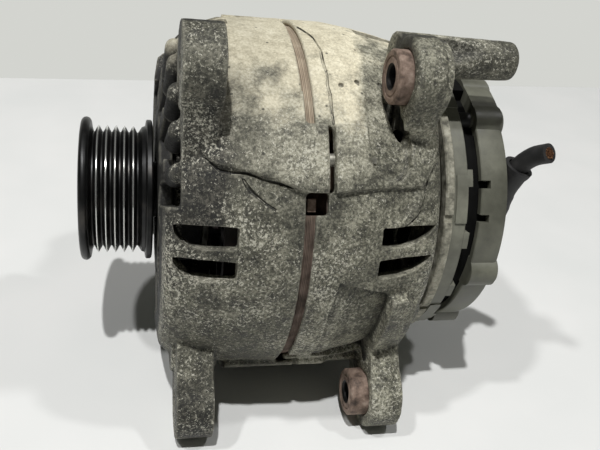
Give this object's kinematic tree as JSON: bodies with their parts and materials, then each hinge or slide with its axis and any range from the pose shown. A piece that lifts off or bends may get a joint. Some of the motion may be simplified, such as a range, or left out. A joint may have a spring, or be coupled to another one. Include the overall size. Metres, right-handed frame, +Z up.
{
  "type": "car alternator",
  "caption": "Car alternator with a grooved belt pulley, vented cast housings, twin mounting lugs with sliding bushings, rear rectifier cover and a short battery cable.",
  "frame": {"origin": "centre of the rotor shaft's front end face, in the middle of the pulley", "axes": "+X along the rotor from the pulley to the rear cover, +Z up as the alternator lies on a table on its body and its two lower lugs, -Y towards the side that carries the mounting lugs"},
  "size_m": [0.1896, 0.1572, 0.1636],
  "materials": {
    "cast_aluminium": "sand-blasted die casting, oxidised and grimy",
    "rusty_steel": "rusted laminations and bushings",
    "machined_steel": "machined steel, dulled",
    "dark_steel": "black phosphated steel with polished rib tips",
    "copper": "varnished copper wire and rings",
    "plated_steel": "zinc plated steel, dulled",
    "heat_sink": "stamped aluminium, corroded",
    "grey_plastic": "glass filled nylon, olive grey",
    "black_plastic": "moulded black nylon",
    "carbon": "pressed copper graphite",
    "rubber": "black rubber and cable sheath"
  },
  "bodies": {
    "housing": {"front_housing": "cast_aluminium", "rear_housing": "cast_aluminium", "stator_core": "rusty_steel", "front_end_winding": "copper", "rear_end_winding": "copper", "through_bolt_1": "machined_steel", "through_bolt_2": "machined_steel", "through_bolt_3": "machined_steel", "through_bolt_4": "machined_steel", "retainer_screw_1": "machined_steel", "retainer_screw_2": "machined_steel", "retainer_screw_3": "machined_steel", "front_bearing_outer_race": "machined_steel", "rear_bearing_outer_race": "machined_steel", "negative_diode_1": "machined_steel", "negative_diode_2": "machined_steel", "negative_diode_3": "machined_steel", "positive_diode_1": "machined_steel", "positive_diode_2": "machined_steel", "positive_diode_3": "machined_steel", "brush_holder_screw_1": "machined_steel", "brush_holder_screw_2": "machined_steel", "cover_screw_1": "machined_steel", "cover_screw_2": "machined_steel", "cover_screw_3": "machined_steel", "battery_stud": "machined_steel", "bearing_retainer": "plated_steel", "cable_lug": "plated_steel", "battery_nut": "plated_steel", "negative_heat_sink": "heat_sink", "positive_heat_sink": "heat_sink", "terminal_carrier": "grey_plastic", "rear_cover": "grey_plastic", "brush_holder": "black_plastic", "plug_socket": "black_plastic", "battery_cable": "rubber", "terminal_boot": "rubber"},
    "rotor": {"rotor_shaft": "machined_steel", "pulley": "dark_steel", "pulley_nut": "machined_steel", "spacer_collar": "machined_steel", "front_claw_pole": "dark_steel", "rear_claw_pole": "dark_steel", "field_coil": "copper", "front_fan": "machined_steel", "rear_fan": "machined_steel", "slip_ring_carrier": "black_plastic", "slip_ring_1": "copper", "slip_ring_2": "copper", "front_bearing_inner_race": "machined_steel", "rear_bearing_inner_race": "machined_steel"},
    "front_balls": {"front_bearing_balls": "machined_steel"},
    "rear_balls": {"rear_bearing_balls": "machined_steel"},
    "brush_a": {"brush_a": "carbon", "brush_spring_a": "machined_steel"},
    "brush_b": {"brush_b": "carbon", "brush_spring_b": "machined_steel"},
    "upper_bushing": {"upper_bushing": "rusty_steel"},
    "lower_bushing": {"lower_bushing": "rusty_steel"}
  },
  "joints": [
    {"name": "rotor_spin", "type": "hinge", "parent": "housing", "child": "rotor", "pos_m": [0, 0, 0], "axis": [1, 0, 0], "continuous": true},
    {"name": "front_bearing_roll", "type": "hinge", "parent": "housing", "child": "front_balls", "pos_m": [0.0383, 0, 0], "axis": [1, 0, 0], "continuous": true},
    {"name": "rear_bearing_roll", "type": "hinge", "parent": "housing", "child": "rear_balls", "pos_m": [0.12475, 0, 0], "axis": [1, 0, 0], "continuous": true},
    {"name": "brush_a_slide", "type": "slide", "parent": "housing", "child": "brush_a", "axis": [0, 0, -1], "range_m": [0, 0.004], "stiffness_N_per_m": 300, "springref_m": -0.008, "deforming": ["brush_spring_a"]},
    {"name": "brush_b_slide", "type": "slide", "parent": "housing", "child": "brush_b", "axis": [0, 0, -1], "range_m": [0, 0.004], "stiffness_N_per_m": 300, "springref_m": -0.008, "deforming": ["brush_spring_b"]},
    {"name": "upper_bushing_slide", "type": "slide", "parent": "housing", "child": "upper_bushing", "axis": [1, 0, 0], "range_m": [-0.002, 0.003]},
    {"name": "lower_bushing_slide", "type": "slide", "parent": "housing", "child": "lower_bushing", "axis": [1, 0, 0], "range_m": [-0.002, 0.003]}
  ],
  "couplings": [
    {"joint": "front_bearing_roll", "follows": "rotor_spin", "ratio": 0.389},
    {"joint": "rear_bearing_roll", "follows": "rotor_spin", "ratio": 0.403}
  ]
}
